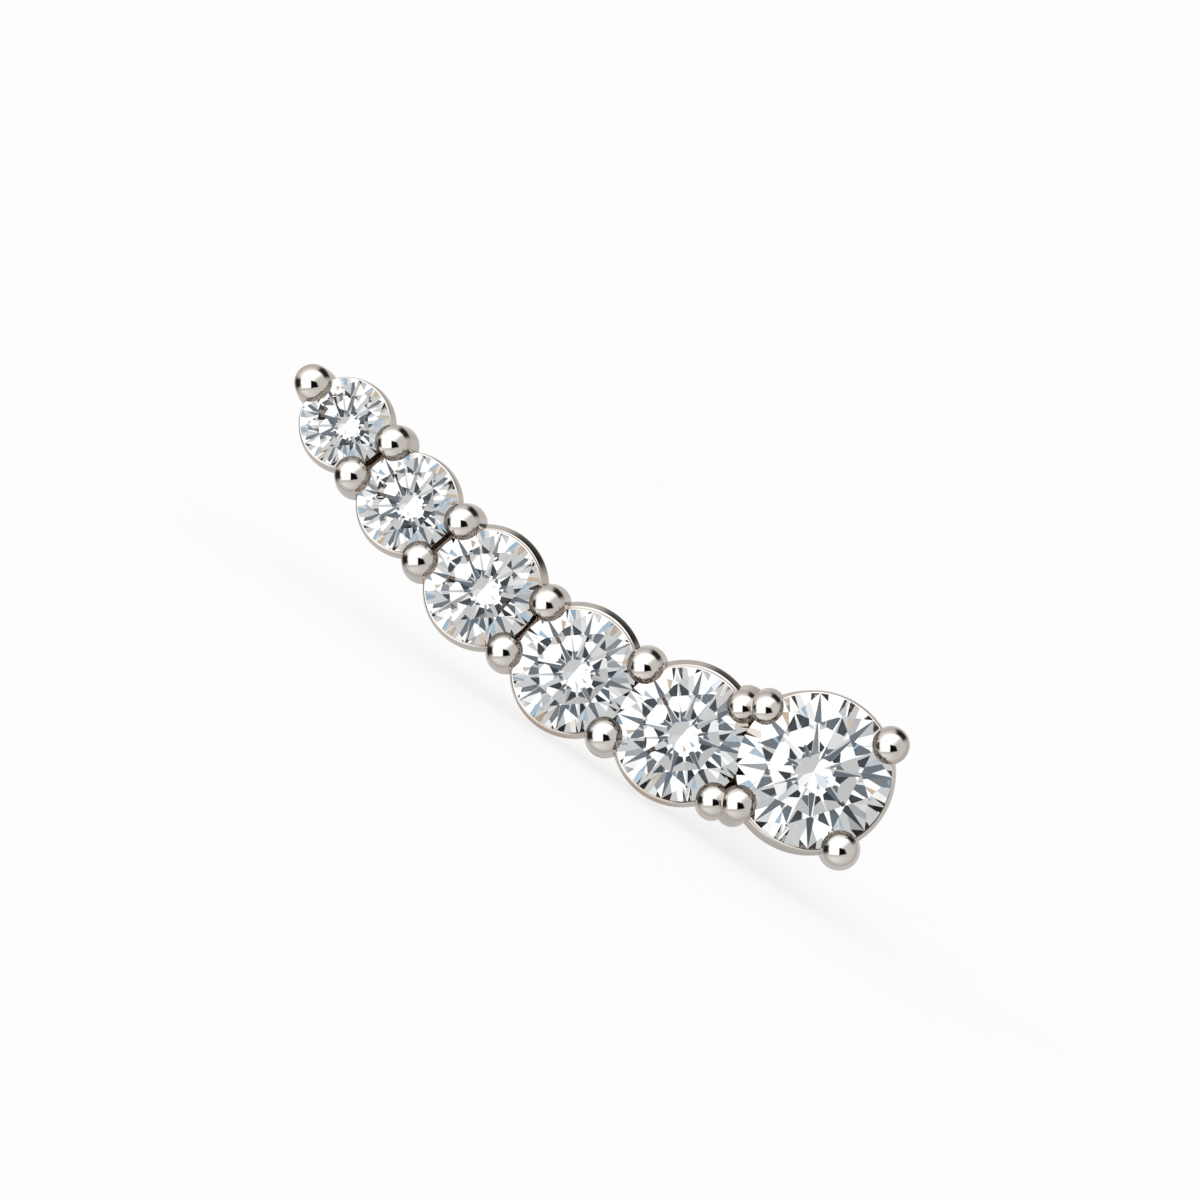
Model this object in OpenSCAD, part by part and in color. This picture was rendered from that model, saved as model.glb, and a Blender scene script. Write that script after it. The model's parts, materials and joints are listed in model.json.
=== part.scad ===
// Curved ear climber: six graduated round brilliants in a row of shared-claw cups with a plain post.
// It lies as it comes to rest by itself, on two cups of its outer curve and the tip of its post.

/* [Stones] */
// Girdle diameter of the first stone, at the small end
stone_1_d = 1.75; // [1.7:0.05:1.8]
// Girdle diameter of the second stone
stone_2_d = 1.95; // [1.9:0.05:2]
// Girdle diameter of the third stone
stone_3_d = 2.25; // [2.2:0.05:2.3]
// Girdle diameter of the fourth stone
stone_4_d = 2.4; // [2.35:0.05:2.45]
// Girdle diameter of the fifth stone
stone_5_d = 2.6; // [2.55:0.05:2.65]
// Girdle diameter of the sixth and largest stone
stone_6_d = 3; // [2.95:0.05:3.05]

/* [Cut] */
// Width of the table, as a share of the girdle diameter
table_ratio = 0.6; // [0.56:0.01:0.62]
// Slope of the eight main crown facets, in degrees
crown_angle = 34; // [33:0.5:35.5]
// Slope of the eight main pavilion facets, in degrees
pavilion_angle = 41; // [40.4:0.2:41.4]
// How far the star facets reach from the table to the girdle, as a share
star_ratio = 0.5; // [0.45:0.01:0.55]
// How far the lower half facets reach from the girdle to the point, as a share
lower_half_ratio = 0.85; // [0.8:0.01:0.86]
// Thickness of the girdle, as a share of the girdle diameter
girdle_ratio = 0.026; // [0.024:0.002:0.036]

/* [Cups] */
// Clear space between a stone and its metal
stone_gap = 0.02; // [0.015:0.005:0.03]
// Width of the rim that shows round a stone
rim_w = 0.04; // [0.03:0.01:0.05]
// Depth of a rim below the girdle of its stone
rim_drop = 0.08; // [0.07:0.01:0.1]
// How far the foot of a cup's wall stands outside the girdle
wall_w = 0.1; // [0.08:0.01:0.11]
// Depth of the foot of a cup's wall below the girdle
wall_h = 0.6; // [0.54:0.02:0.64]
// Depth of the backs of the cups below the girdle of the first stone
back_depth = 1.2; // [1.15:0.05:1.3]

/* [Claws] */
// Radius of the ball on a claw that two stones share
ball_r = 0.36; // [0.34:0.01:0.37]
// Radius of the knee of a claw that two stones share
knee_r = 0.41; // [0.4:0.01:0.42]
// Height of the middle of a ball above the girdle
ball_height = 0.27; // [0.25:0.01:0.3]
// How far the middle of a shared claw stands outside the girdles
claw_stand = 0.2; // [0.19:0.01:0.22]
// How far the knee of a lower shared claw stands out from under its ball
lower_splay = 0.03; // [0.02:0.01:0.04]
// How far the knee of an upper shared claw stands out from under its ball
upper_splay = 0.08; // [0.06:0.01:0.09]

/* [Post] */
// Radius of the post
post_r = 0.45; // [0.4:0.025:0.5]
// Length of the post from its pad to its tip
post_length = 10; // [9.5:0.5:11]

/* [Hidden] */
$fn = 48;

// One row for each stone: diameter, gap from the girdle before it, heading of the step to it,
// height of its girdle, turn of its facets, and how far the wall of its cup swells to one side.
// A gap below zero is a stone that laps over the one before it, and stands higher.
DIAMETER = 0;
GAP = 1;
HEADING = 2;
LIFT = 3;
TURN = 4;
SWELL = 5;
STONES = [
    [stone_1_d, 0, 0, 0, 27, [0, 0]],
    [stone_2_d, 0.16, -52, 0, 27, [0, 0]],
    [stone_3_d, 0.14, -48.6, 0, 27, [0.05, 0.065]],
    [stone_4_d, 0.1, -42.4, 0, 27, [0.045, 0.09]],
    [stone_5_d, -0.06, -30.7, 0.14, 27, [0.055, 0.08]],
    [stone_6_d, -0.15, -15.8, 0.36, 40, [-0.09, -0.02]],
];
LAST = len(STONES) - 1;

// One row for each claw that holds one stone only: the stone, the claw's bearing round it, how far
// its middle stands outside the girdle, the way that it leans and how far its knee stands out that
// way, the radius of its ball and the radius of its knee
HELD = 0;
AROUND = 1;
STAND = 2;
LEAN_WAY = 3;
SPLAY = 4;
OWN_BALL_R = 5;
OWN_KNEE_R = 6;
ONE_STONE_CLAWS = [
    [0, 128.4, 0.09, 128, 0.03, 0.365, 0.42],
    [4, 23.6, 0, 41, 0.18, 0.33, 0.4],
    [5, 127.2, 0.01, 62, 0.2, 0.33, 0.32],
    [4, -64.4, 0.115, -128, 0.11, 0.34, 0.33],
    [5, -156.8, 0.09, -135, 0.28, 0.355, 0.32],
    [5, 17.7, 0.04, 62, 0.1, 0.36, 0.37],
    [5, -72.2, 0.077, -72, 0.02, 0.355, 0.42],
];

// A claw widens from its ball down to its knee, and then tapers in to its foot on the cup's back.
// Each length of it is a little slimmer than the ball that it ends in.
knee_drop = 1;
shank_share = 0.95;
foot_tuck = 0.4;
foot_r = 0.2;
foot_height = 0.18;

// The round bar across the space between two stones, and how far below the girdles it runs
bar_r = 0.08;
bar_drop = 0.42;

// The open space cut between two rims
slot_w = 0.36;
slot_margin = 0.1;
slot_depth = 0.72;
slot_top = 1;

// The rail that joins two cups along the back
rail_w = 0.5;
rail_h = 0.36;

// Where a cup's wall swells to one side: the depth that the swelling starts at, how far inside the
// girdle its top stands, and the depth that it is widest from
swell_top = 0.15;
swell_tuck = 0.01;
swell_h = 0.4;

// A cup tapers from the foot of its wall to its back, which is open to the light
base_share = 0.7;
bore_share = 0.5;

// The pad that the post is soldered to
pad_r = 0.65;
pad_thickness = 0.25;
seam = 0.1;

back_z = -back_depth;
settling_rounds = 5;

// The cut, for a girdle radius of one
table_r = table_ratio;
crown_h = (1 - table_r) * tan(crown_angle);
pavilion_h = tan(pavilion_angle);
half_step = 22.5;
star_r = table_r * cos(half_step) + star_ratio * (1 - table_r * cos(half_step));
star_h = (1 - star_r * cos(half_step)) * tan(crown_angle);
lower_r = 1 - lower_half_ratio;
lower_h = (1 - lower_r * cos(half_step)) * tan(pavilion_angle);
girdle_steps = 64;

white_gold = [0.77, 0.74, 0.72];
diamond = [0.9, 0.93, 0.96];

function stone_r(i) = STONES[i][DIAMETER] / 2;
function lift(i) = STONES[i][LIFT];
function cup_swell(i) = STONES[i][SWELL];
function step_length(i) = stone_r(i - 1) + stone_r(i) + STONES[i][GAP];
function bearing(a) = [cos(a), sin(a)];
function spot(i) = i == 0 ? [0, 0] : spot(i - 1) + step_length(i) * bearing(STONES[i][HEADING]);
function midway(i) = spot(i - 1) + (stone_r(i - 1) + STONES[i][GAP] / 2) * bearing(STONES[i][HEADING]);
function cup_middle(i) = spot(i) + cup_swell(i);
function raised(p, z) = [p.x, p.y, z];
function turned(r, a, z) = [r * cos(a), r * sin(a), z];

// How steeply the plane of a half facet rises from the girdle, and how far the girdle point at angle a
// is off the chord that the plane cuts it along
function facet_slope(r, h) = h / (cos(half_step / 2) - r * cos(half_step / 2));
function off_chord(a) = cos(half_step / 2) - cos((a % half_step) - half_step / 2);
function girdle_ring(z, slope) = [
    for (k = [0 : girdle_steps - 1])
        let (a = k * 360 / girdle_steps)
        turned(1, a, z + slope * off_chord(a))
];

function brilliant_points() = concat(
    [for (k = [0 : 7]) turned(table_r, 45 * k, girdle_ratio + crown_h)],
    [for (k = [0 : 7]) turned(star_r, 45 * k + half_step, girdle_ratio + star_h)],
    girdle_ring(girdle_ratio, facet_slope(star_r, star_h)),
    girdle_ring(-girdle_ratio, -facet_slope(lower_r, lower_h)),
    [for (k = [0 : 7]) turned(lower_r, 45 * k + half_step, -girdle_ratio - lower_h)],
    [[0, 0, -girdle_ratio - pavilion_h]]
);

// A claw is its place, the way that it leans, how far its knee stands out that way, the height of its
// girdle, and the radii of its ball and knee
PLACE = 0;
LEAN = 1;
OUT = 2;
LEVEL = 3;
BALL = 4;
KNEE = 5;

function shared_claw(i, side) =
    let (
        near = stone_r(i) + claw_stand,
        far = stone_r(i + 1) + claw_stand,
        reach = step_length(i + 1),
        along = bearing(STONES[i + 1][HEADING]),
        out = side * [-along.y, along.x],
        x = (reach * reach + near * near - far * far) / (2 * reach)
    )
    [
        spot(i) + x * along + sqrt(near * near - x * x) * out,
        out, side > 0 ? upper_splay : lower_splay, (lift(i) + lift(i + 1)) / 2, ball_r, knee_r
    ];

function one_stone_claw(row) =
    [
        spot(row[HELD]) + (stone_r(row[HELD]) + row[STAND]) * bearing(row[AROUND]),
        bearing(row[LEAN_WAY]), row[SPLAY], lift(row[HELD]), row[OWN_BALL_R], row[OWN_KNEE_R]
    ];

SHARED_CLAWS = [for (i = [0 : LAST - 2], side = [1, -1]) shared_claw(i, side)];
CLAWS = concat(SHARED_CLAWS, [for (row = ONE_STONE_CLAWS) one_stone_claw(row)]);

function ball_middle(c) = raised(c[PLACE], c[LEVEL] + ball_height);
function knee(c) = raised(c[PLACE] + c[OUT] * c[LEAN], c[LEVEL] + ball_height - knee_drop);
function foot(c) = raised(c[PLACE] - foot_tuck * c[LEAN], back_z + foot_height);

// Where the post stands, on the rail between the last two stones, and the middle of its round tip
post_place = midway(LAST);
post_tip = raised(post_place, back_z - pad_thickness - post_length + post_r);

// The floor touches the walls of two cups and the tip of the post. Each is taken as a ball, and the
// foot of a wall that stands at a slant counts as a ball a little smaller than itself.
RESTING_STONES = [3, 4];
face = [0, 0, 1];
function slanted(r, up) = r * sqrt(1 - (up * face) * (up * face));
function feet(up) = concat(
    [for (i = RESTING_STONES) [raised(spot(i), lift(i) - wall_h), slanted(stone_r(i) + wall_w, up)]],
    [[post_tip, post_r]]
);
function tangent_up(balls) =
    let (
        a = balls[1][0] - balls[0][0],
        b = balls[2][0] - balls[0][0],
        rise_a = balls[1][1] - balls[0][1],
        rise_b = balls[2][1] - balls[0][1],
        gram = (a * a) * (b * b) - (a * b) * (a * b),
        share_a = (rise_a * (b * b) - rise_b * (a * b)) / gram,
        share_b = (rise_b * (a * a) - rise_a * (a * b)) / gram,
        in_plane = share_a * a + share_b * b,
        across = cross(a, b)
    )
    in_plane + sqrt(1 - in_plane * in_plane) * across / norm(across);
function settled_up(up, rounds) = rounds == 0 ? up : settled_up(tangent_up(feet(up)), rounds - 1);

up = settled_up([0, 1, 0], settling_rounds);
back = (face * up) * up - face;
rear = back / norm(back);
right = cross(rear, up);
floor_level = up * feet(up)[0][0] - feet(up)[0][1];

// The balls that reach furthest each way set the middle of the whole piece
REACH = concat(
    [for (c = CLAWS) [ball_middle(c), c[BALL]]],
    [for (c = CLAWS) [knee(c), c[KNEE]]],
    [[post_tip, post_r]]
);
function middle(way) =
    (min([for (b = REACH) way * b[0] - b[1]]) + max([for (b = REACH) way * b[0] + b[1]])) / 2;

module at_rest() {
    multmatrix([
        [right.x, right.y, right.z, -middle(right)],
        [rear.x, rear.y, rear.z, -middle(rear)],
        [up.x, up.y, up.z, -floor_level],
    ])
        children();
}

module ball(p, r) {
    translate(p)
        sphere(r = r);
}

module rod(a, b, r_a, r_b) {
    v = b - a;
    translate(a)
        rotate([0, acos(v.z / norm(v)), atan2(v.y, v.x)])
            cylinder(r1 = r_a, r2 = r_b, h = norm(v));
}

module brilliant(i) {
    translate(raised(spot(i), lift(i)))
        rotate([0, 0, STONES[i][TURN]])
            scale(stone_r(i))
                hull()
                    polyhedron(
                        points = brilliant_points(),
                        faces = [for (k = [1 : len(brilliant_points()) - 2]) [0, k, k + 1]]
                    );
}

// The space that a stone and its clearance take up, as one turned shape
module stone_room(i) {
    r = stone_r(i);
    g = stone_gap;
    girdle = girdle_ratio * r;
    translate(raised(spot(i), lift(i)))
        rotate_extrude()
            polygon([
                [0, girdle + crown_h * r + g],
                [table_r * r + g, girdle + crown_h * r + g],
                [star_r * r + g, girdle + star_h * r + g],
                [r + g, girdle + g],
                [r + g, -girdle - g],
                [lower_r * r + g, -girdle - lower_h * r - g],
                [0, -girdle - pavilion_h * r - 2 * g],
            ]);
}

// A wall round the stone, narrow at its rim and wider at its foot, and a taper to the back
module cup(i) {
    r = stone_r(i);
    translate(raised(spot(i), lift(i)))
        rotate_extrude()
            polygon([
                [0, -rim_drop],
                [r + rim_w, -rim_drop],
                [r + wall_w, -wall_h],
                [base_share * r, back_z - lift(i)],
                [0, back_z - lift(i)],
            ]);
}

// The swollen side of a wall
module swelling(i) {
    r = stone_r(i);
    translate(raised(cup_middle(i), lift(i)))
        rotate_extrude()
            polygon([
                [0, -swell_top],
                [r - swell_tuck, -swell_top],
                [r + wall_w, -swell_h],
                [r + wall_w, -wall_h],
                [base_share * r, back_z - lift(i)],
                [0, back_z - lift(i)],
            ]);
}

module bore(i) {
    translate(raised(cup_middle(i), back_z - seam))
        cylinder(r = bore_share * stone_r(i), h = back_depth + lift(i));
}

// The open space between the walls of cups i and i + 1, from one claw to the other
module slot(i) {
    length = 2 * sqrt(pow(stone_r(i) + claw_stand, 2) - pow(step_length(i + 1) / 2, 2)) + 2 * slot_margin;
    translate(raised(midway(i + 1), slot_top - (slot_depth + slot_top) / 2))
        rotate([0, 0, STONES[i + 1][HEADING]])
            cube([slot_w, length, slot_depth + slot_top], center = true);
}

module rail(i) {
    place = spot(i) + stone_r(i) * bearing(STONES[i + 1][HEADING]);
    translate(raised(place, back_z + rail_h / 2))
        rotate([0, 0, STONES[i + 1][HEADING]])
            cube([step_length(i + 1), rail_w, rail_h], center = true);
}

module claw(c) {
    ball(ball_middle(c), c[BALL]);
    rod(knee(c), ball_middle(c), shank_share * c[KNEE], shank_share * c[BALL]);
    ball(knee(c), c[KNEE]);
    rod(foot(c), knee(c), foot_r, shank_share * c[KNEE]);
}

module cross_bar(i) {
    a = shared_claw(i, 1);
    b = shared_claw(i, -1);
    rod(raised(a[PLACE], a[LEVEL] - bar_drop), raised(b[PLACE], b[LEVEL] - bar_drop), bar_r, bar_r);
}

module post() {
    translate(raised(post_place, back_z - pad_thickness))
        cylinder(r = pad_r, h = pad_thickness + seam);
    translate(post_tip)
        cylinder(r = post_r, h = post_length - post_r + seam);
    ball(post_tip, post_r);
}

module slotted_cup(i) {
    difference() {
        union() {
            cup(i);
            if (norm(cup_swell(i)) > 0) swelling(i);
        }
        for (k = [max(i - 1, 0) : min(i, LAST - 1)]) slot(k);
    }
}

module cups() {
    difference() {
        union() {
            for (i = [0 : LAST]) slotted_cup(i);
            for (i = [0 : LAST - 1]) rail(i);
        }
        for (i = [0 : LAST]) bore(i);
    }
}

module setting() {
    color(white_gold)
        at_rest()
            difference() {
                union() {
                    cups();
                    for (c = CLAWS) claw(c);
                    for (i = [0 : LAST - 2]) cross_bar(i);
                    post();
                }
                for (i = [0 : LAST]) stone_room(i);
            }
}

module stone(i) {
    color(diamond)
        at_rest()
            brilliant(i);
}

setting();
stone(0);  // stone_1
stone(1);  // stone_2
stone(2);  // stone_3
stone(3);  // stone_4
stone(4);  // stone_5
stone(5);  // stone_6
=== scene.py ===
"""A curved ear climber in polished white gold with six graduated round brilliants, lying on its outer curve."""

import json
import math

import bpy
import numpy as np
from mathutils import Matrix, Vector


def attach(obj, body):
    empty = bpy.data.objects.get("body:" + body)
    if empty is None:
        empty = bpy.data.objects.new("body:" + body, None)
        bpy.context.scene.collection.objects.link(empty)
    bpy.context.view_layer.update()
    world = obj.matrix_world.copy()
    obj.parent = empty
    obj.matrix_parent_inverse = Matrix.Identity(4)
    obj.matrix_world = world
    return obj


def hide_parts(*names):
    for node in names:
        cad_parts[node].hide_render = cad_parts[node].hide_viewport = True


MM = 0.001

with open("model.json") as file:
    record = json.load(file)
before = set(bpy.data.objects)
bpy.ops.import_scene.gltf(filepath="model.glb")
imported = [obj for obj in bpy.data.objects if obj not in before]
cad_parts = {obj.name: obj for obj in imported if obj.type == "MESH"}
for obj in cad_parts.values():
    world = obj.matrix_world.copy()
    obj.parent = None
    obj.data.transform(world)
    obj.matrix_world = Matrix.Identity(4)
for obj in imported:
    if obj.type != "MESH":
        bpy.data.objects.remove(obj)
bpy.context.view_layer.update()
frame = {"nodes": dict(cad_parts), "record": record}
scene = bpy.context.scene
view_layer = bpy.context.view_layer

STONES = ["stone_1", "stone_2", "stone_3", "stone_4", "stone_5", "stone_6"]

# The cut, for a girdle radius of one
CROWN_ANGLE = 34
PAVILION_ANGLE = 41
TABLE = 0.6
GIRDLE = 0.026
STAR_SHARE = 0.5
LOWER_SHARE = 0.85
HALF_STEP = math.cos(math.radians(22.5))
CROWN_H = (1 - TABLE) * math.tan(math.radians(CROWN_ANGLE))
PAVILION_H = math.tan(math.radians(PAVILION_ANGLE))
STAR_R = TABLE * HALF_STEP + STAR_SHARE * (1 - TABLE * HALF_STEP)
STAR_H = (1 - STAR_R * HALF_STEP) * math.tan(math.radians(CROWN_ANGLE))
LOWER_R = 1 - LOWER_SHARE
LOWER_H = (1 - LOWER_R * HALF_STEP) * math.tan(math.radians(PAVILION_ANGLE))

# The setting, in millimetres. Heights are above the girdle of the first stone, along the way the stones face.
STONE_GAP = 0.02
RIM_W = 0.04
RIM_DROP = 0.08
WALL_W = 0.1
WALL_H = 0.6
SWELL_TOP = 0.15
SWELL_TUCK = 0.01
SWELL_H = 0.4
BACK = -1.2
BASE_SHARE = 0.7
BORE_SHARE = 0.5
BALL_HEIGHT = 0.27
CLAW_STAND = 0.2
LOWER_SPLAY = 0.03
UPPER_SPLAY = 0.08
KNEE_DROP = 1
FOOT_TUCK = 0.4
FOOT_R = 0.2
FOOT_HEIGHT = 0.18
SHARED_BALL_R = 0.36
SHARED_KNEE_R = 0.41
BAR_R = 0.08
BAR_DROP = 0.42
SLOT_W = 0.36
SLOT_MARGIN = 0.1
SLOT_DEPTH = 0.72
RAIL_W = 0.5
RAIL_H = 0.36
PAD_R = 0.65
PAD_THICKNESS = 0.25
POST_R = 0.45
POST_LENGTH = 10
SEAM = 0.1
# A hair slimmer than the exact balls, whose flat facets lie just inside them
SNUG = 0.996

# How far the wall of each cup swells to one side
SWELLS = [(0, 0), (0, 0), (0.05, 0.065), (0.045, 0.09), (0.055, 0.08), (-0.09, -0.02)]

# One row for each claw that holds one stone only: stone, bearing, stand, way that it leans, how far its knee stands
# out that way, ball radius, knee radius
ONE_STONE_CLAWS = [
    (0, 128.4, 0.09, 128, 0.03, 0.365, 0.42),
    (4, 23.6, 0, 41, 0.18, 0.33, 0.4),
    (5, 127.2, 0.01, 62, 0.2, 0.33, 0.32),
    (4, -64.4, 0.115, -128, 0.11, 0.34, 0.33),
    (5, -156.8, 0.09, -135, 0.28, 0.355, 0.32),
    (5, 17.7, 0.04, 62, 0.1, 0.36, 0.37),
    (5, -72.2, 0.077, -72, 0.02, 0.355, 0.42),
]


# ---------------------------------------------------------------- the face frame: x and y in the row's plane, z out

face_z = -np.array(next(m for m in frame["record"]["mounts"] if m["name"] == "post")["axis"])


def read_stone(name):
    """The middle of a stone's girdle and its radius, in millimetres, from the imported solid."""
    mesh = frame["nodes"][name].data
    points = np.zeros(len(mesh.vertices) * 3)
    mesh.vertices.foreach_get("co", points)
    points = points.reshape(-1, 3) / MM
    culet = points[(points @ face_z).argmin()]
    off = points - culet
    radius = np.linalg.norm(off - np.outer(off @ face_z, face_z), axis=1).max()
    return culet + (GIRDLE + PAVILION_H) * radius * face_z, radius


girdles = [read_stone(name) for name in STONES]
origin = girdles[0][0]
first_step = girdles[1][0] - origin
first_step /= np.linalg.norm(first_step)
FIRST_HEADING = math.radians(-52)
face_x = np.cos(FIRST_HEADING) * first_step - np.sin(FIRST_HEADING) * np.cross(face_z, first_step)
face_y = np.cross(face_z, face_x)
FACE = np.array([face_x, face_y, face_z]).T
TO_ROW = Matrix.LocRotScale(Vector(origin * MM), Matrix(FACE), Vector((MM, MM, MM)))

SPOTS = [(centre - origin) @ FACE for centre, _ in girdles]
RADII = [radius for _, radius in girdles]
LAST = len(STONES) - 1


# ---------------------------------------------------------------- camera, at the photograph's angle

IMAGE = 1200
DISTANCE = 75
FOCAL_PX = 3855
SENSOR = 36
AIM_PX = (574.1, 671)
AIM_STONE = 3
TURN_DOWN = 5
TURN_SIDE = 2.5

facing = Vector((-math.tan(math.radians(TURN_SIDE)), math.tan(math.radians(TURN_DOWN)), 1)).normalized()
sideways = (Vector((1, 0, 0)) - facing.x * facing).normalized()
upward = facing.cross(sideways)
CAMERA_AXES = FACE @ np.array([sideways, upward, facing])
aim = np.array([AIM_PX[0] - IMAGE / 2, IMAGE / 2 - AIM_PX[1], 0]) * DISTANCE / FOCAL_PX
eye = girdles[AIM_STONE][0] + CAMERA_AXES @ (np.array([0, 0, DISTANCE]) - aim)
eye_right, eye_up, eye_back = (Vector(CAMERA_AXES[:, k]) for k in range(3))

camera = bpy.data.objects.new("camera", bpy.data.cameras.new("camera"))
scene.collection.objects.link(camera)
camera.matrix_world = Matrix.LocRotScale(Vector(eye * MM), Matrix(CAMERA_AXES), None)
camera.data.sensor_width = SENSOR
camera.data.lens = FOCAL_PX / IMAGE * SENSOR
camera.data.clip_start = MM
camera.data.clip_end = 10
scene.camera = camera


# ---------------------------------------------------------------- mesh tools, in millimetres of the face frame


def new_object(name, points, faces):
    mesh = bpy.data.meshes.new(name)
    mesh.from_pydata([tuple(p) for p in points], [], faces)
    made = bpy.data.objects.new(name, mesh)
    scene.collection.objects.link(made)
    return made


def rings_to_object(name, rings, ends):
    """A closed solid from rings of points, each joined to the next, with a point at each end."""
    sides = len(rings[0])
    points = [ends[0]] + [p for ring in rings for p in ring] + [ends[1]]
    last = len(points) - 1
    faces = []
    for k in range(sides):
        after = (k + 1) % sides
        faces.append((0, 1 + after, 1 + k))
        for ring in range(len(rings) - 1):
            low, high = 1 + ring * sides, 1 + (ring + 1) * sides
            faces.append((low + k, low + after, high + after, high + k))
        low = 1 + (len(rings) - 1) * sides
        faces.append((low + k, low + after, last))
    return new_object(name, points, faces)


def lathe(name, profile, centre, sides):
    """A solid of revolution from (radius, height) pairs that start and end on the axis, bottom first."""
    angles = np.arange(sides) * 2 * math.pi / sides
    rings = [
        [(centre[0] + r * math.cos(a), centre[1] + r * math.sin(a), h) for a in angles]
        for r, h in profile[1:-1]
    ]
    return rings_to_object(name, rings, [(centre[0], centre[1], profile[k][1]) for k in (0, -1)])


def rounded(corners, steps=6):
    """A profile of (radius, height, rounding) corners with each rounding drawn as an arc."""
    flat = [np.array(c[:2], float) for c in corners]
    out = [tuple(flat[0])]
    for before, here, after, corner in zip(flat, flat[1:], flat[2:], corners[1:]):
        to_before = (before - here) / np.linalg.norm(before - here)
        to_after = (after - here) / np.linalg.norm(after - here)
        half = math.acos(np.clip(to_before @ to_after, -1, 1)) / 2
        if not corner[2]:
            out.append(tuple(here))
            continue
        middle = (to_before + to_after) / np.linalg.norm(to_before + to_after)
        centre = here + middle * corner[2] / math.sin(half)
        start = here + to_before * corner[2] / math.tan(half) - centre
        end = here + to_after * corner[2] / math.tan(half) - centre
        sweep = math.pi - 2 * half
        for k in range(steps + 1):
            t = k / steps
            blend = (math.sin((1 - t) * sweep) * start + math.sin(t * sweep) * end) / math.sin(sweep)
            out.append(tuple(centre + blend))
    out.append(tuple(flat[-1]))
    return out


def tube(name, path, radii, sides):
    """A round rod along a path, with a half ball at each end."""
    path = [np.array(p, float) for p in path]
    cap = [math.radians(a) for a in range(6, 90, 7)]
    first_way = path[1] - path[0]
    first_way /= np.linalg.norm(first_way)
    last_way = path[-1] - path[-2]
    last_way /= np.linalg.norm(last_way)
    stations = [(path[0] - radii[0] * math.cos(a) * first_way, radii[0] * math.sin(a), first_way) for a in cap]
    for k, (place, radius) in enumerate(zip(path, radii)):
        way = path[min(k + 1, len(path) - 1)] - path[max(k - 1, 0)]
        stations.append((place, radius, way / np.linalg.norm(way)))
    stations += [
        (path[-1] + radii[-1] * math.cos(a) * last_way, radii[-1] * math.sin(a), last_way) for a in reversed(cap)
    ]
    side = np.cross(first_way, [1.0, 0.3, 0.2])
    side /= np.linalg.norm(side)
    rings = []
    for place, radius, way in stations:
        side = side - (side @ way) * way
        side /= np.linalg.norm(side)
        other = np.cross(way, side)
        turns = np.arange(sides) * 2 * math.pi / sides
        rings.append([place + radius * (math.cos(t) * side + math.sin(t) * other) for t in turns])
    ends = [path[0] - radii[0] * first_way, path[-1] + radii[-1] * last_way]
    return rings_to_object(name, rings, ends)


def block(name, centre, size, heading, soft):
    """A bar with rounded edges, lying along a heading."""
    half = np.array(size) / 2
    c, s = math.cos(heading), math.sin(heading)
    corners = [(x, y, z) for z in (-1, 1) for x, y in ((-1, -1), (1, -1), (1, 1), (-1, 1))]
    points = []
    for corner in corners:
        x, y, z = np.array(corner) * half
        points.append((centre[0] + c * x - s * y, centre[1] + s * x + c * y, centre[2] + z))
    faces = [(0, 3, 2, 1), (4, 5, 6, 7), (0, 1, 5, 4), (1, 2, 6, 5), (2, 3, 7, 6), (3, 0, 4, 7)]
    made = new_object(name, points, faces)
    if soft:
        bevel = made.modifiers.new("edges", "BEVEL")
        bevel.width = soft
        bevel.segments = 4
        bevel.limit_method = "NONE"
        apply_modifiers(made)
    return made


def apply_modifiers(thing):
    graph = bpy.context.evaluated_depsgraph_get()
    mesh = bpy.data.meshes.new_from_object(thing.evaluated_get(graph))
    thing.modifiers.clear()
    thing.data = mesh


def combine(base, others, operation):
    """Unites base with the others, or cuts them from it, and deletes them."""
    for other in others:
        step = base.modifiers.new(other.name, "BOOLEAN")
        step.operation = operation
        step.solver = "MANIFOLD"
        step.object = other
    apply_modifiers(base)
    for other in others:
        bpy.data.objects.remove(other)
    return base


# ---------------------------------------------------------------- the setting


def bearing(degrees):
    return np.array([math.cos(math.radians(degrees)), math.sin(math.radians(degrees))])


def raised(place, height):
    return np.array([place[0], place[1], height])


def lift(i):
    return SPOTS[i][2]


def shared_claw(i, side):
    near, far = RADII[i] + CLAW_STAND, RADII[i + 1] + CLAW_STAND
    step = SPOTS[i + 1][:2] - SPOTS[i][:2]
    reach = np.linalg.norm(step)
    along = step / reach
    out = side * np.array([-along[1], along[0]])
    x = (reach**2 + near**2 - far**2) / (2 * reach)
    place = SPOTS[i][:2] + x * along + math.sqrt(near**2 - x**2) * out
    splay = UPPER_SPLAY if side > 0 else LOWER_SPLAY
    return place, splay * out, (lift(i) + lift(i + 1)) / 2, SHARED_BALL_R, SHARED_KNEE_R


def one_stone_claw(row):
    stone, around, stand, lean_way, splay, ball_r, knee_r = row
    place = SPOTS[stone][:2] + (RADII[stone] + stand) * bearing(around)
    return place, splay * bearing(lean_way), lift(stone), ball_r, knee_r


def curve_through(points, share, steps=8):
    """The points joined by straight runs, with each inner corner eased over that share of its shorter run."""
    points = [np.array(p, float) for p in points]
    out = [points[0]]
    for before, here, after in zip(points, points[1:], points[2:]):
        ease = share * min(np.linalg.norm(before - here), np.linalg.norm(after - here))
        start = here + ease * (before - here) / np.linalg.norm(before - here)
        end = here + ease * (after - here) / np.linalg.norm(after - here)
        for k in range(steps + 1):
            t = k / steps
            out.append((1 - t) ** 2 * start + 2 * t * (1 - t) * here + t**2 * end)
    out.append(points[-1])
    return out


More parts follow.
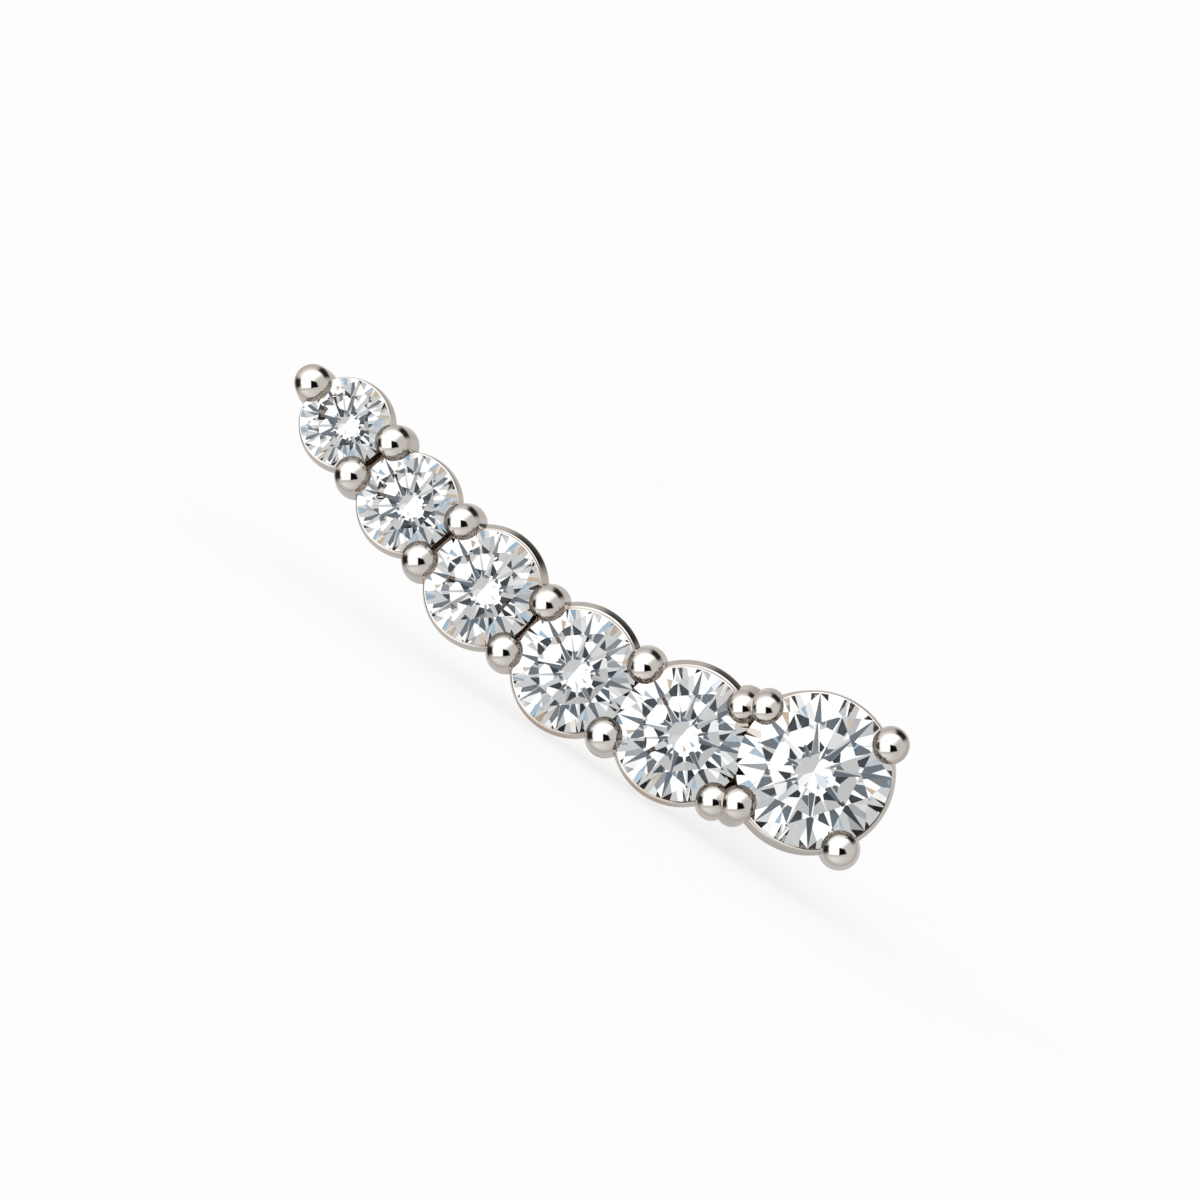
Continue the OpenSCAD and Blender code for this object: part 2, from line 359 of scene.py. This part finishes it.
def claw_rod(name, claw):
    """One smooth rod from the ball on its end, widening to its knee, and in to its foot on the cup's back."""
    place, lean, level, ball_r, knee_r = claw
    top = raised(place, level + BALL_HEIGHT)
    knee = raised(place + lean, level + BALL_HEIGHT - KNEE_DROP)
    foot = raised(place - FOOT_TUCK * lean / np.linalg.norm(lean), BACK + FOOT_HEIGHT)
    path = curve_through([top, knee, foot], 0.6)
    heights = [FOOT_HEIGHT + BACK, knee[2] + 0.15, top[2]]
    widths = np.interp([p[2] for p in path], heights, [FOOT_R, SNUG * knee_r, SNUG * ball_r])
    return tube(name, path, widths, 72)


def cup(i):
    """A wall round the stone, narrow at its rim and wider at its foot, a taper to the back, and where the wall swells
    to one side, a second turned shape for that."""
    r, back = RADII[i], BACK - lift(i)
    foot = [(0, back, 0), (BASE_SHARE * r, back, 0.05), (r + WALL_W, -WALL_H, 0.15)]
    wall = foot + [(r + RIM_W, -RIM_DROP, 0.04), (0, -RIM_DROP, 0)]
    swelling = foot + [(r + WALL_W, -SWELL_H, 0.12), (r - SWELL_TUCK, -SWELL_TOP, 0.02), (0, -SWELL_TOP, 0)]
    shapes = [("wall", wall, SPOTS[i])]
    if any(SWELLS[i]):
        shapes.append(("swelling", swelling, SPOTS[i][:2] + np.array(SWELLS[i])))
    return [
        lathe(f"{name}_{i}", [(a, h + lift(i)) for a, h in rounded(corners)], place, 160)
        for name, corners, place in shapes
    ]


def make_setting():
    solids = [part for i in range(LAST + 1) for part in cup(i)]
    for i in range(LAST):
        step = SPOTS[i + 1][:2] - SPOTS[i][:2]
        length = np.linalg.norm(step)
        place = SPOTS[i][:2] + RADII[i] * step / length
        heading = math.atan2(step[1], step[0])
        size = (length, RAIL_W, RAIL_H)
        solids.append(block(f"rail_{i}", raised(place, BACK + RAIL_H / 2), size, heading, 0.06))

    cutters = []
    for i in range(LAST):
        step = SPOTS[i + 1][:2] - SPOTS[i][:2]
        length = np.linalg.norm(step)
        gap = length - RADII[i] - RADII[i + 1]
        place = SPOTS[i][:2] + (RADII[i] + gap / 2) * step / length
        wide = 2 * math.sqrt((RADII[i] + CLAW_STAND) ** 2 - (length / 2) ** 2) + 2 * SLOT_MARGIN
        size = (SLOT_W, wide, SLOT_DEPTH + 1)
        centre = raised(place, (1 - SLOT_DEPTH) / 2)
        cutters.append(block(f"slot_{i}", centre, size, math.atan2(step[1], step[0]), 0.05))
    for i in range(LAST + 1):
        r = BORE_SHARE * RADII[i]
        middle = SPOTS[i][:2] + np.array(SWELLS[i])
        profile = [(0, BACK - SEAM), (r, BACK - SEAM), (r, lift(i)), (0, lift(i))]
        cutters.append(lathe(f"bore_{i}", profile, middle, 96))
    setting = combine(solids[0], solids[1:], "UNION")
    setting = combine(setting, cutters, "DIFFERENCE")

    claws = [shared_claw(i, side) for i in range(LAST - 1) for side in (1, -1)]
    claws += [one_stone_claw(row) for row in ONE_STONE_CLAWS]
    added = [claw_rod(f"claw_{k}", claw) for k, claw in enumerate(claws)]
    for i in range(LAST - 1):
        ends = [shared_claw(i, side) for side in (1, -1)]
        path = [raised(end[0], end[2] - BAR_DROP) for end in ends]
        added.append(tube(f"bar_{i}", path, [BAR_R, BAR_R], 32))
    step = SPOTS[LAST][:2] - SPOTS[LAST - 1][:2]
    length = np.linalg.norm(step)
    gap = length - RADII[LAST - 1] - RADII[LAST]
    place = SPOTS[LAST - 1][:2] + (RADII[LAST - 1] + gap / 2) * step / length
    low, high = BACK - PAD_THICKNESS, BACK + SEAM
    added.append(lathe("pad", rounded([(0, low, 0), (PAD_R, low, 0.08), (PAD_R, high, 0), (0, high, 0)]), place, 96))
    tip = low - POST_LENGTH
    profile = rounded([(0, tip, 0), (POST_R, tip, POST_R * 0.999), (POST_R, low + SEAM, 0), (0, low + SEAM, 0)], 16)
    added.append(lathe("wire", profile, place, 96))
    setting = combine(setting, added, "UNION")

    rooms = []
    for i in range(LAST + 1):
        r, g = RADII[i], STONE_GAP
        profile = [
            (0, -(GIRDLE + PAVILION_H) * r - 2 * g),
            (LOWER_R * r + g, -(GIRDLE + LOWER_H) * r - g),
            (r + g, -GIRDLE * r - g),
            (r + g, GIRDLE * r + g),
            (STAR_R * r + g, (GIRDLE + STAR_H) * r + g),
            (TABLE * r + g, (GIRDLE + CROWN_H) * r + g),
            (0, (GIRDLE + CROWN_H) * r + g),
        ]
        rooms.append(lathe(f"room_{i}", [(a, b + lift(i)) for a, b in profile], SPOTS[i], 192))
    return combine(setting, rooms, "DIFFERENCE")


setting = make_setting()
setting.name = "setting_body"
setting.data.name = "setting_body"
setting.data.transform(TO_ROW)
setting.data.shade_smooth()
setting.data.set_sharp_from_angle(angle=math.radians(32))


# ---------------------------------------------------------------- materials


class Sums:
    """Builds numbers out of nodes in a shader tree."""

    def __init__(self, tree):
        self.tree = tree

    def node(self, kind):
        return self.tree.nodes.new(kind)

    def feed(self, socket, value):
        if isinstance(value, bpy.types.NodeSocket):
            self.tree.links.new(value, socket)
        else:
            socket.default_value = value

    def do(self, operation, *values):
        made = self.node("ShaderNodeMath")
        made.operation = operation
        for socket, value in zip(made.inputs, values):
            self.feed(socket, value)
        return made.outputs[0]

    def along(self, vector, way):
        made = self.node("ShaderNodeVectorMath")
        made.operation = "DOT_PRODUCT"
        self.feed(made.inputs[0], vector)
        made.inputs[1].default_value = way
        return made.outputs["Value"]

    def rise(self, value, start, end, low=0.0, high=1.0):
        """Goes smoothly from low to high as value goes from start to end."""
        made = self.node("ShaderNodeMapRange")
        made.interpolation_type = "SMOOTHSTEP"
        for socket, given in zip(made.inputs, (value, start, end, low, high)):
            self.feed(socket, given)
        return made.outputs[0]

    def inside(self, *shares):
        out = shares[0]
        for share in shares[1:]:
            out = self.do("MULTIPLY", out, share)
        return out

    def mix(self, share, below, above):
        made = self.node("ShaderNodeMix")
        made.data_type = "RGBA"
        for name, value in (("Factor", share), ("A", below), ("B", above)):
            socket = next(s for s in made.inputs if s.name == name and (name == "Factor" or s.type == "RGBA"))
            self.feed(socket, (*value, 1) if isinstance(value, tuple) else value)
        return next(s for s in made.outputs if s.type == "RGBA")


def new_material(name):
    material = bpy.data.materials.new(name)
    material.use_nodes = True
    tree = material.node_tree
    shader = next(n for n in tree.nodes if n.type == "BSDF_PRINCIPLED")
    return material, tree, shader


def noise(tree, scale, detail):
    place = tree.nodes.new("ShaderNodeTexCoord")
    made = tree.nodes.new("ShaderNodeTexNoise")
    made.inputs["Scale"].default_value = scale
    made.inputs["Detail"].default_value = detail
    tree.links.new(place.outputs["Object"], made.inputs["Vector"])
    return made.outputs["Fac"]


def ramp(tree, value, low, high):
    """A colour or a number that goes from low to high as value goes from 0.35 to 0.65."""
    made = tree.nodes.new("ShaderNodeValToRGB")
    made.color_ramp.elements[0].position = 0.35
    made.color_ramp.elements[1].position = 0.65
    for element, colour in zip(made.color_ramp.elements, (low, high)):
        element.color = (*colour, 1) if isinstance(colour, tuple) else (colour, colour, colour, 1)
    tree.links.new(value, made.inputs["Fac"])
    return made.outputs["Color"]


# Painted shade: metal in a narrow gap is painted darker and warmer, and is also made rougher: how near its neighbour
# has to be, its painted shade colour and its roughness
CREVICE_REACH = 0.35
CREVICE_SHADE_COLOUR = (0.62, 0.5, 0.41)
CREVICE_ROUGHNESS = 0.35

GOLD_DEEP = (0.64, 0.61, 0.58)
GOLD_PALE = (0.69, 0.665, 0.64)
POLISH_BEST = 0.025
POLISH_WORST = 0.06
BUMP_STRENGTH = 0.25
BUMP_HEIGHT = 0.002


def white_gold():
    material, tree, shader = new_material("white_gold_polished")
    shader.inputs["Metallic"].default_value = 1
    link = tree.links.new
    sums = Sums(tree)
    # Painted shade: an ambient occlusion lookup darkens and warms the base colour in gaps and where the metal meets
    # the stones, and roughens the metal there
    crevice_shade = sums.node("ShaderNodeAmbientOcclusion")
    crevice_shade.samples = 8
    crevice_shade.inputs["Distance"].default_value = CREVICE_REACH * MM
    unshaded_share = ramp(tree, crevice_shade.outputs["AO"], 0, 1)
    gold = ramp(tree, noise(tree, 900, 4), GOLD_DEEP, GOLD_PALE)
    link(sums.mix(unshaded_share, CREVICE_SHADE_COLOUR, gold), shader.inputs["Base Color"])
    polish = ramp(tree, noise(tree, 2500, 6), POLISH_BEST, POLISH_WORST)
    link(sums.mix(unshaded_share, (CREVICE_ROUGHNESS,) * 3, polish), shader.inputs["Roughness"])
    bump = sums.node("ShaderNodeBump")
    bump.inputs["Strength"].default_value = BUMP_STRENGTH
    bump.inputs["Distance"].default_value = BUMP_HEIGHT * MM
    link(noise(tree, 1800, 3), bump.inputs["Height"])
    link(bump.outputs["Normal"], shader.inputs["Normal"])
    return material


DIAMOND_IOR = 2.417

# How much the faces of a stone mirror, as a share of real diamond
STONE_MIRROR = 0.1

# Painted reflection: the dark brown colour a stone is given only where the metal mirrors it
SEEN_IN_METAL = (0.2, 0.155, 0.12)


def diamond():
    material, tree, shader = new_material("diamond_cut")
    shader.inputs["Roughness"].default_value = 0
    shader.inputs["IOR"].default_value = DIAMOND_IOR
    shader.inputs["Transmission Weight"].default_value = 1
    shader.inputs["Specular Tint"].default_value = (*(STONE_MIRROR,) * 3, 1)
    clear = ramp(tree, noise(tree, 400, 2), (0.985, 0.985, 0.98), (0.98, 0.99, 1))
    sums = Sums(tree)
    rays = sums.node("ShaderNodeLightPath").outputs
    # Painted reflection: blurred reflections in the metal see the stones dark brown instead of clear
    seen_in_metal = sums.do("MULTIPLY", rays["Is Glossy Ray"], sums.do("SUBTRACT", 1, rays["Is Singular Ray"]))
    tree.links.new(sums.mix(seen_in_metal, clear, SEEN_IN_METAL), shader.inputs["Base Color"])
    return material


setting.data.materials.clear()
setting.data.materials.append(white_gold())
gem = diamond()
for name in STONES:
    stone = frame["nodes"][name]
    for k in range(len(stone.data.materials)):
        stone.material_slots[k].material = gem

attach(setting, "root")
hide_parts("setting")


# ---------------------------------------------------------------- floor and light


BACKDROP = 0.98

# The light on the floor: how strong it is, the side that more of it comes from, and how uneven it is
FILL = 1.05
FROM = (-1, 0, 0)
FROM_SHARE = 0.95

# Dark flags behind the object: the middle and half width of each, in degrees round the ball, and its inner and
# outer radius on the ball
FLAGS = [(43, 20, 0.62, 0.96), (181, 16, 0.56, 0.93)]

# What the facets show: white from the upper left, grey from the lower right, a pale edge, cool and warm sides past
# the radius TINTED_R on the ball, and a slate ring round a dark middle where the camera stands
STONE_WHITE = 1.15
STONE_GREY = 0.6
STONE_EDGE = 0.88
STONE_COOL = (0.36, 0.5, 0.62)
STONE_WARM = (0.6, 0.48, 0.36)
TINTED_R = 0.39
RING = (0.13, 0.155, 0.18)
RING_R = 0.145
DARK = (0.03, 0.04, 0.05)
DARK_R = 0.075


def studio_for_metal(sums, x, y, r, turn):
    """What polished metal shows: a broad soft panel above, its lower edge level, the dark opening that the camera
    stands in, a pale table all round, and two dark flags far behind. Places are on a polished ball, from -1 to 1."""
    rise, inside, mix, do = sums.rise, sums.inside, sums.mix, sums.do
    side = rise(x, -0.5, 0.4)
    low = mix(side, (1.1, 1.08, 1.06), (0.82, 0.8, 0.78))
    band = inside(rise(y, -0.46, -0.42), rise(y, -0.3, -0.34))
    low = mix(band, low, (0.8, 0.78, 0.76))
    slant = do("SUBTRACT", do("MULTIPLY", do("MAXIMUM", y, 0), 0.77), do("MULTIPLY", x, 0.64))
    panel = inside(rise(slant, -0.13, 0.13), rise(y, -0.34, -0.27), rise(r, 0.74, 0.58))
    colour = mix(panel, low, (1.7, 1.7, 1.7))
    far = mix(rise(y, -0.5, 0.4), (0.6, 0.57, 0.55), (0.66, 0.62, 0.59))
    colour = mix(rise(r, 0.68, 0.92), colour, far)
    for middle, half, inner, outer in FLAGS:
        away = do("ABSOLUTE", do("SUBTRACT", turn, math.radians(middle)))
        flag = inside(rise(away, math.radians(half + 14), math.radians(half - 6)), rise(r, inner, inner + 0.12))
        colour = mix(inside(flag, rise(r, outer + 0.06, outer - 0.06)), colour, (0.03, 0.027, 0.025))
    opening = inside(
        rise(x, -0.09, -0.04),
        rise(do("ADD", x, do("MULTIPLY", y, 0.35)), 0.3, 0.2),
        rise(do("ADD", y, do("MULTIPLY", x, 0.3)), 0.1, 0.04),
        rise(do("ADD", y, do("MULTIPLY", x, -0.15)), -0.36, -0.3),
    )
    return mix(opening, colour, (0.006, 0.006, 0.007))


def studio_for_stones(sums, x, y, r, turn):
    """What the facets gather from the studio, on the same ball."""
    rise, inside, mix, do = sums.rise, sums.inside, sums.mix, sums.do
    colour = mix(rise(do("SUBTRACT", y, x), -0.14, 0.14), (STONE_GREY,) * 3, (STONE_WHITE,) * 3)
    colour = mix(rise(r, 0.5, 0.68), colour, (STONE_EDGE,) * 3)
    waves = do("SINE", do("ADD", do("MULTIPLY", turn, 3), 0.5))
    tinted = rise(r, TINTED_R - 0.03, TINTED_R + 0.03)
    colour = mix(inside(rise(waves, 0.4, 0.55), tinted), colour, STONE_COOL)
    colour = mix(inside(rise(waves, -0.8, -0.95), tinted), colour, STONE_WARM)
    colour = mix(rise(r, RING_R + 0.02, RING_R - 0.02), colour, RING)
    return mix(rise(r, DARK_R + 0.015, DARK_R - 0.015), colour, DARK)


def light_studio():
    """The studio round the object, laid out as a polished ball at the object would show it to the camera."""
    world = bpy.data.worlds.new("studio")
    world.use_nodes = True
    scene.world = world
    tree = world.node_tree
    tree.nodes.clear()
    sums = Sums(tree)
    way = sums.node("ShaderNodeTexCoord").outputs["Generated"]
    near = sums.along(way, eye_back)
    shrink = sums.do("INVERSE_SQRT", sums.do("MAXIMUM", sums.do("ADD", sums.do("MULTIPLY", near, 2), 2), 0.0001))
    x = sums.do("MULTIPLY", sums.along(way, eye_right), shrink)
    y = sums.do("MULTIPLY", sums.along(way, eye_up), shrink)
    r = sums.do("SQRT", sums.do("ADD", sums.do("MULTIPLY", x, x), sums.do("MULTIPLY", y, y)))
    turn = sums.do("ARCTAN2", y, x)
    turn = sums.do("MODULO", sums.do("ADD", turn, 2 * math.pi), 2 * math.pi)
    colour = studio_for_metal(sums, x, y, r, turn)
    rays = sums.node("ShaderNodeLightPath").outputs
    colour = sums.mix(rays["Is Transmission Ray"], colour, studio_for_stones(sums, x, y, r, turn))
    fill = sums.do("MULTIPLY", sums.do("ADD", sums.do("MULTIPLY", sums.along(way, FROM), FROM_SHARE), 1), FILL)
    colour = sums.mix(rays["Is Diffuse Ray"], colour, fill)
    colour = sums.mix(rays["Is Camera Ray"], colour, (BACKDROP,) * 3)
    background = sums.node("ShaderNodeBackground")
    tree.links.new(colour, background.inputs["Color"])
    out = sums.node("ShaderNodeOutputWorld")
    tree.links.new(background.outputs[0], out.inputs["Surface"])


FLOOR_R = 0.2
FLOOR_LEVEL = -0.00001

# How much of the floor's tone a shadow can take away, and how uneven the paper is
FLOOR_SHADE = 0.2
FLOOR_GRAIN = 0.003


def lay_floor():
    """A plain pale sheet that fades into the backdrop."""
    sides = 96
    rings = [0.01, 0.02, 0.04, 0.08, 0.14, FLOOR_R]
    points = [(0, 0, FLOOR_LEVEL)]
    for r in rings:
        for k in range(sides):
            a = 2 * math.pi * k / sides
            points.append((r * math.cos(a), r * math.sin(a), FLOOR_LEVEL))
    faces = [(0, 1 + k, 1 + (k + 1) % sides) for k in range(sides)]
    for ring in range(len(rings) - 1):
        low, high = 1 + ring * sides, 1 + (ring + 1) * sides
        for k in range(sides):
            after = (k + 1) % sides
            faces.append((low + k, high + k, high + after, low + after))
    floor = new_object("floor", points, faces)
    material, tree, shader = new_material("floor_paper")
    sums = Sums(tree)
    paper = ramp(tree, noise(tree, 300, 3), FLOOR_SHADE - FLOOR_GRAIN, FLOOR_SHADE + FLOOR_GRAIN)
    tree.links.new(paper, shader.inputs["Base Color"])
    shader.inputs["Roughness"].default_value = 1
    shader.inputs["Specular IOR Level"].default_value = 0
    shader.inputs["Emission Color"].default_value = (1, 1, 1, 1)
    shader.inputs["Emission Strength"].default_value = BACKDROP - FLOOR_SHADE * FILL
    place = sums.node("ShaderNodeTexCoord").outputs["Object"]
    length = sums.node("ShaderNodeVectorMath")
    length.operation = "LENGTH"
    tree.links.new(place, length.inputs[0])
    tree.links.new(sums.rise(length.outputs["Value"], FLOOR_R, 0.03), shader.inputs["Alpha"])
    floor.data.materials.append(material)
    floor.visible_glossy = False
    floor.visible_transmission = False


light_studio()
lay_floor()
scene.view_settings.view_transform = "Standard"
scene.cycles.max_bounces = 24
scene.cycles.glossy_bounces = 8
scene.cycles.transmission_bounces = 24

view_layer.update()
